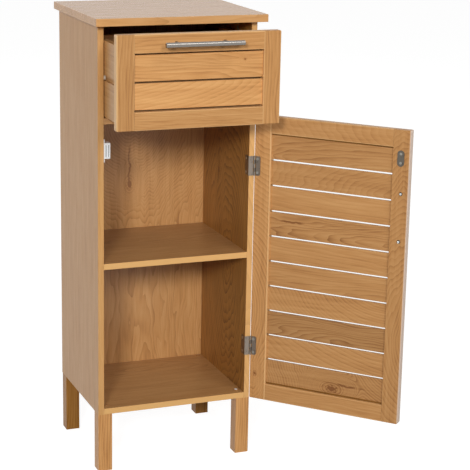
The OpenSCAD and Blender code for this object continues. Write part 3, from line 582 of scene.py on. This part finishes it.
def dress_door():
    dress_front(DOOR_FRAME)
    # Each slat gets a painted shadow at its end next to the free stile.
    dress_front({f"door_slat_{i:02d}": dict(look, seam=-1) for i, look in enumerate(DOOR_SLATS, start=1)})
    for name in ("hinge_upper_door_leaf", "hinge_lower_door_leaf"):
        dress(name, brushed(name, SHADED_PLATE, "z", marks=0.8))
    dress("strike_plate", brushed("strike_plate", STRIKE_PLATE, "z", marks=0.7))
    dress("door_small_screws", brushed("door_small_screws", DULL_ZINC, "z", roughness=0.34, marks=0.3))
    dress_handle("door", "z", HANDLE_SCREWS_APART)


def dress_drawer():
    dress_front(DRAWER_FRONT)
    for name in ("drawer_left_side", "drawer_right_side"):
        dress_board(name, "y", BOARD_OAK, tone=0.88, heart=(110, 30), slope=0.04, spacing=8, figure=0.6)
    # The face behind the slats is printed dark, as painted shade seen through the slots.
    dress_board("drawer_inner_front", "x", BOARD_OAK, tone=0.9, behind=(-1, BOARD_OAK, 0.45))
    for name in ("drawer_back", "drawer_bottom"):
        dress_board(name, "x", BOARD_OAK, heart=(80, 30), slope=0.05, spacing=8, figure=0.7)
    dress("drawer_screws", brushed("drawer_screws", ZINC, "z", roughness=0.26, marks=0.3))
    # This handle's screws lie side by side, so none is over the other and both stay in the painted shade
    dress_handle("drawer", "x", 0)


dress_cabinet()
dress_door()
dress_drawer()
bare = sorted(set(frame["nodes"]) - dressed)
if bare:
    raise SystemExit("no finish for " + ", ".join(bare))


# Strips that close the slot at either end of the door's slats

STRIP_GAP = 0.1
STRIP_ROUNDING = 0.5


def slot_strip(name, upper, lower, rail):
    """A strip in the slot between an upper and a lower board of the door, in the rail's print darkened as
    painted shade.
    """
    middle = shut_box(rail)[0]
    above, above_size = shut_box(upper)
    below, below_size = shut_box(lower)
    slat, slat_size = shut_box("door_slat_05")
    stile, stile_size = shut_box("door_free_stile")
    length = 2 * (middle[0] - stile[0] - stile_size[0] / 2 - STRIP_GAP)
    thickness = slat_size[1] - 2 * STRIP_GAP
    low = below[2] + below_size[2] / 2 + STRIP_GAP
    high = above[2] - above_size[2] / 2 - STRIP_GAP
    shape = bmesh.new()
    bmesh.ops.create_cube(shape, size=1.0)
    for vertex in shape.verts:
        vertex.co.x = middle[0] + vertex.co.x * length
        vertex.co.y = slat[1] + vertex.co.y * thickness
        vertex.co.z = (low + high) / 2 + vertex.co.z * (high - low)
    long_edges = [edge for edge in shape.edges if edge.verts[0].co.x != edge.verts[1].co.x]
    bmesh.ops.bevel(shape, geom=long_edges, offset=STRIP_ROUNDING, segments=3, profile=0.5, affect="EDGES")
    opened = door_turn(door_opening)
    for vertex in shape.verts:
        vertex.co = opened @ (vertex.co * MM)
    mesh = bpy.data.meshes.new(name)
    shape.to_mesh(mesh)
    shape.free()
    # The strip's darker copy of the oak is painted shade in the slot.
    mesh.materials.append(oak(rail, "x", SHADED_OAK, tone=0.6))
    strip = bpy.data.objects.new(name, mesh)
    bpy.context.collection.objects.link(strip)
    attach(strip, "door")


slot_strip("door_top_slot_strip", "door_top_rail", "door_slat_01", "door_top_rail")
slot_strip("door_bottom_slot_strip", "door_slat_10", "door_bottom_rail", "door_bottom_rail")


# Floor, light and camera

FLOOR_SIDE = 60.0
FLOOR_MIDDLE = (0.15, 0.1, 0)
FLOOR_GREY = (0.38, 0.38, 0.38, 1)
# How white the floor is by itself near the cabinet, how much whiter far away, and where that changes
NEAR_WHITE = 0.88
FAR_WHITER = 0.08
FAR = (900, 4500)
AMBIENT_GREY = (0.03, 0.03, 0.03, 1)
LAMPS_FACE = Vector((0.2, 0.0, 0.5))
PHOTO_SIDE = 470
SENSOR_WIDTH = 36


def white_floor():
    """A pale floor that reads white and keeps the cabinet's soft shadow."""
    bpy.ops.mesh.primitive_plane_add(size=FLOOR_SIDE, location=FLOOR_MIDDLE)
    floor = bpy.context.object
    floor.name = "floor"
    finish = Finish("pale_floor")
    x, y = finish.outputs("ShaderNodeSeparateXYZ", "XY", {0: finish.place()})
    far = (x * x + y * y).root().rise(*FAR)
    finish.set(base_color=FLOOR_GREY, roughness=0.9, specular_ior_level=0.0, emission_strength=1.0,
               emission_color=finish.sees_straight() * (far * FAR_WHITER + NEAR_WHITE))
    floor.data.materials.append(finish.material)


def studio_world():
    """White behind the cabinet and in its reflections, and a soft grey light from all round."""
    world = bpy.data.worlds.new("studio")
    world.use_nodes = True
    bpy.context.scene.world = world
    graph = Graph(world.node_tree)
    grey = graph.add("ShaderNodeBackground", {}, {"Color": AMBIENT_GREY, "Strength": 1.0})
    white = graph.add("ShaderNodeBackground", {}, {"Color": WHITE, "Strength": 1.0})
    surface = graph.add("ShaderNodeMixShader", {}, {0: graph.sees_straight(), 1: grey, 2: white})
    graph.join(world.node_tree.nodes["World Output"].inputs["Surface"], surface)


def soft_lamp(name, turn, rise, distance, side, strength):
    """A square lamp that faces the cabinet's middle, turned to the left of straight in front and raised by
    angles in degrees. A strength of 1 shows a surface that faces the lamp in its own colour."""
    turn, rise = math.radians(turn), math.radians(rise)
    towards = Vector((-math.sin(turn) * math.cos(rise), -math.cos(turn) * math.cos(rise), math.sin(rise)))
    lamp = bpy.data.lights.new(name, "AREA")
    lamp.shape = "SQUARE"
    lamp.size = side
    lamp.energy = strength * (math.pi * distance) ** 2
    holder = bpy.data.objects.new(name, lamp)
    bpy.context.collection.objects.link(holder)
    holder.location = LAMPS_FACE + towards * distance
    holder.rotation_euler = towards.to_track_quat("Z", "Y").to_euler()


def camera(place, yaw, pitch, roll, lens_px):
    """A camera by its place in metres and its turns in degrees; lens_px is its lens in the photo's pixels."""
    yaw, pitch, roll = [math.radians(angle) for angle in (yaw, pitch, roll)]
    forward = Vector((math.sin(yaw) * math.cos(pitch), math.cos(yaw) * math.cos(pitch), -math.sin(pitch)))
    level = Vector((math.cos(yaw), -math.sin(yaw), 0))
    up = level.cross(forward)
    right = level * math.cos(roll) + up * math.sin(roll)
    up = up * math.cos(roll) - level * math.sin(roll)
    eye = bpy.data.cameras.new("camera")
    eye.sensor_width = SENSOR_WIDTH
    eye.lens = lens_px / PHOTO_SIDE * SENSOR_WIDTH
    holder = bpy.data.objects.new("camera", eye)
    bpy.context.collection.objects.link(holder)
    turn = Matrix((right, up, -forward)).transposed().to_4x4()
    holder.matrix_world = Matrix.Translation(Vector(place)) @ turn
    bpy.context.scene.camera = holder


white_floor()
studio_world()
soft_lamp("key", turn=29, rise=20, distance=5.0, side=0.6, strength=0.48)
soft_lamp("front", turn=2, rise=22.5, distance=5.0, side=1.1, strength=0.32)
soft_lamp("right", turn=-22, rise=48, distance=4.0, side=1.2, strength=0.20)
soft_lamp("left", turn=92, rise=8, distance=4.0, side=2.2, strength=0.14)
soft_lamp("back_left", turn=150, rise=25, distance=4.0, side=3.0, strength=0.22)
soft_lamp("back_right", turn=-100, rise=17, distance=4.0, side=3.3, strength=0.20)
camera(place=(-0.8603, -2.8654, 1.2893), yaw=21.857, pitch=14.755, roll=1.164, lens_px=1573.3)
bpy.context.scene.view_settings.view_transform = "Standard"
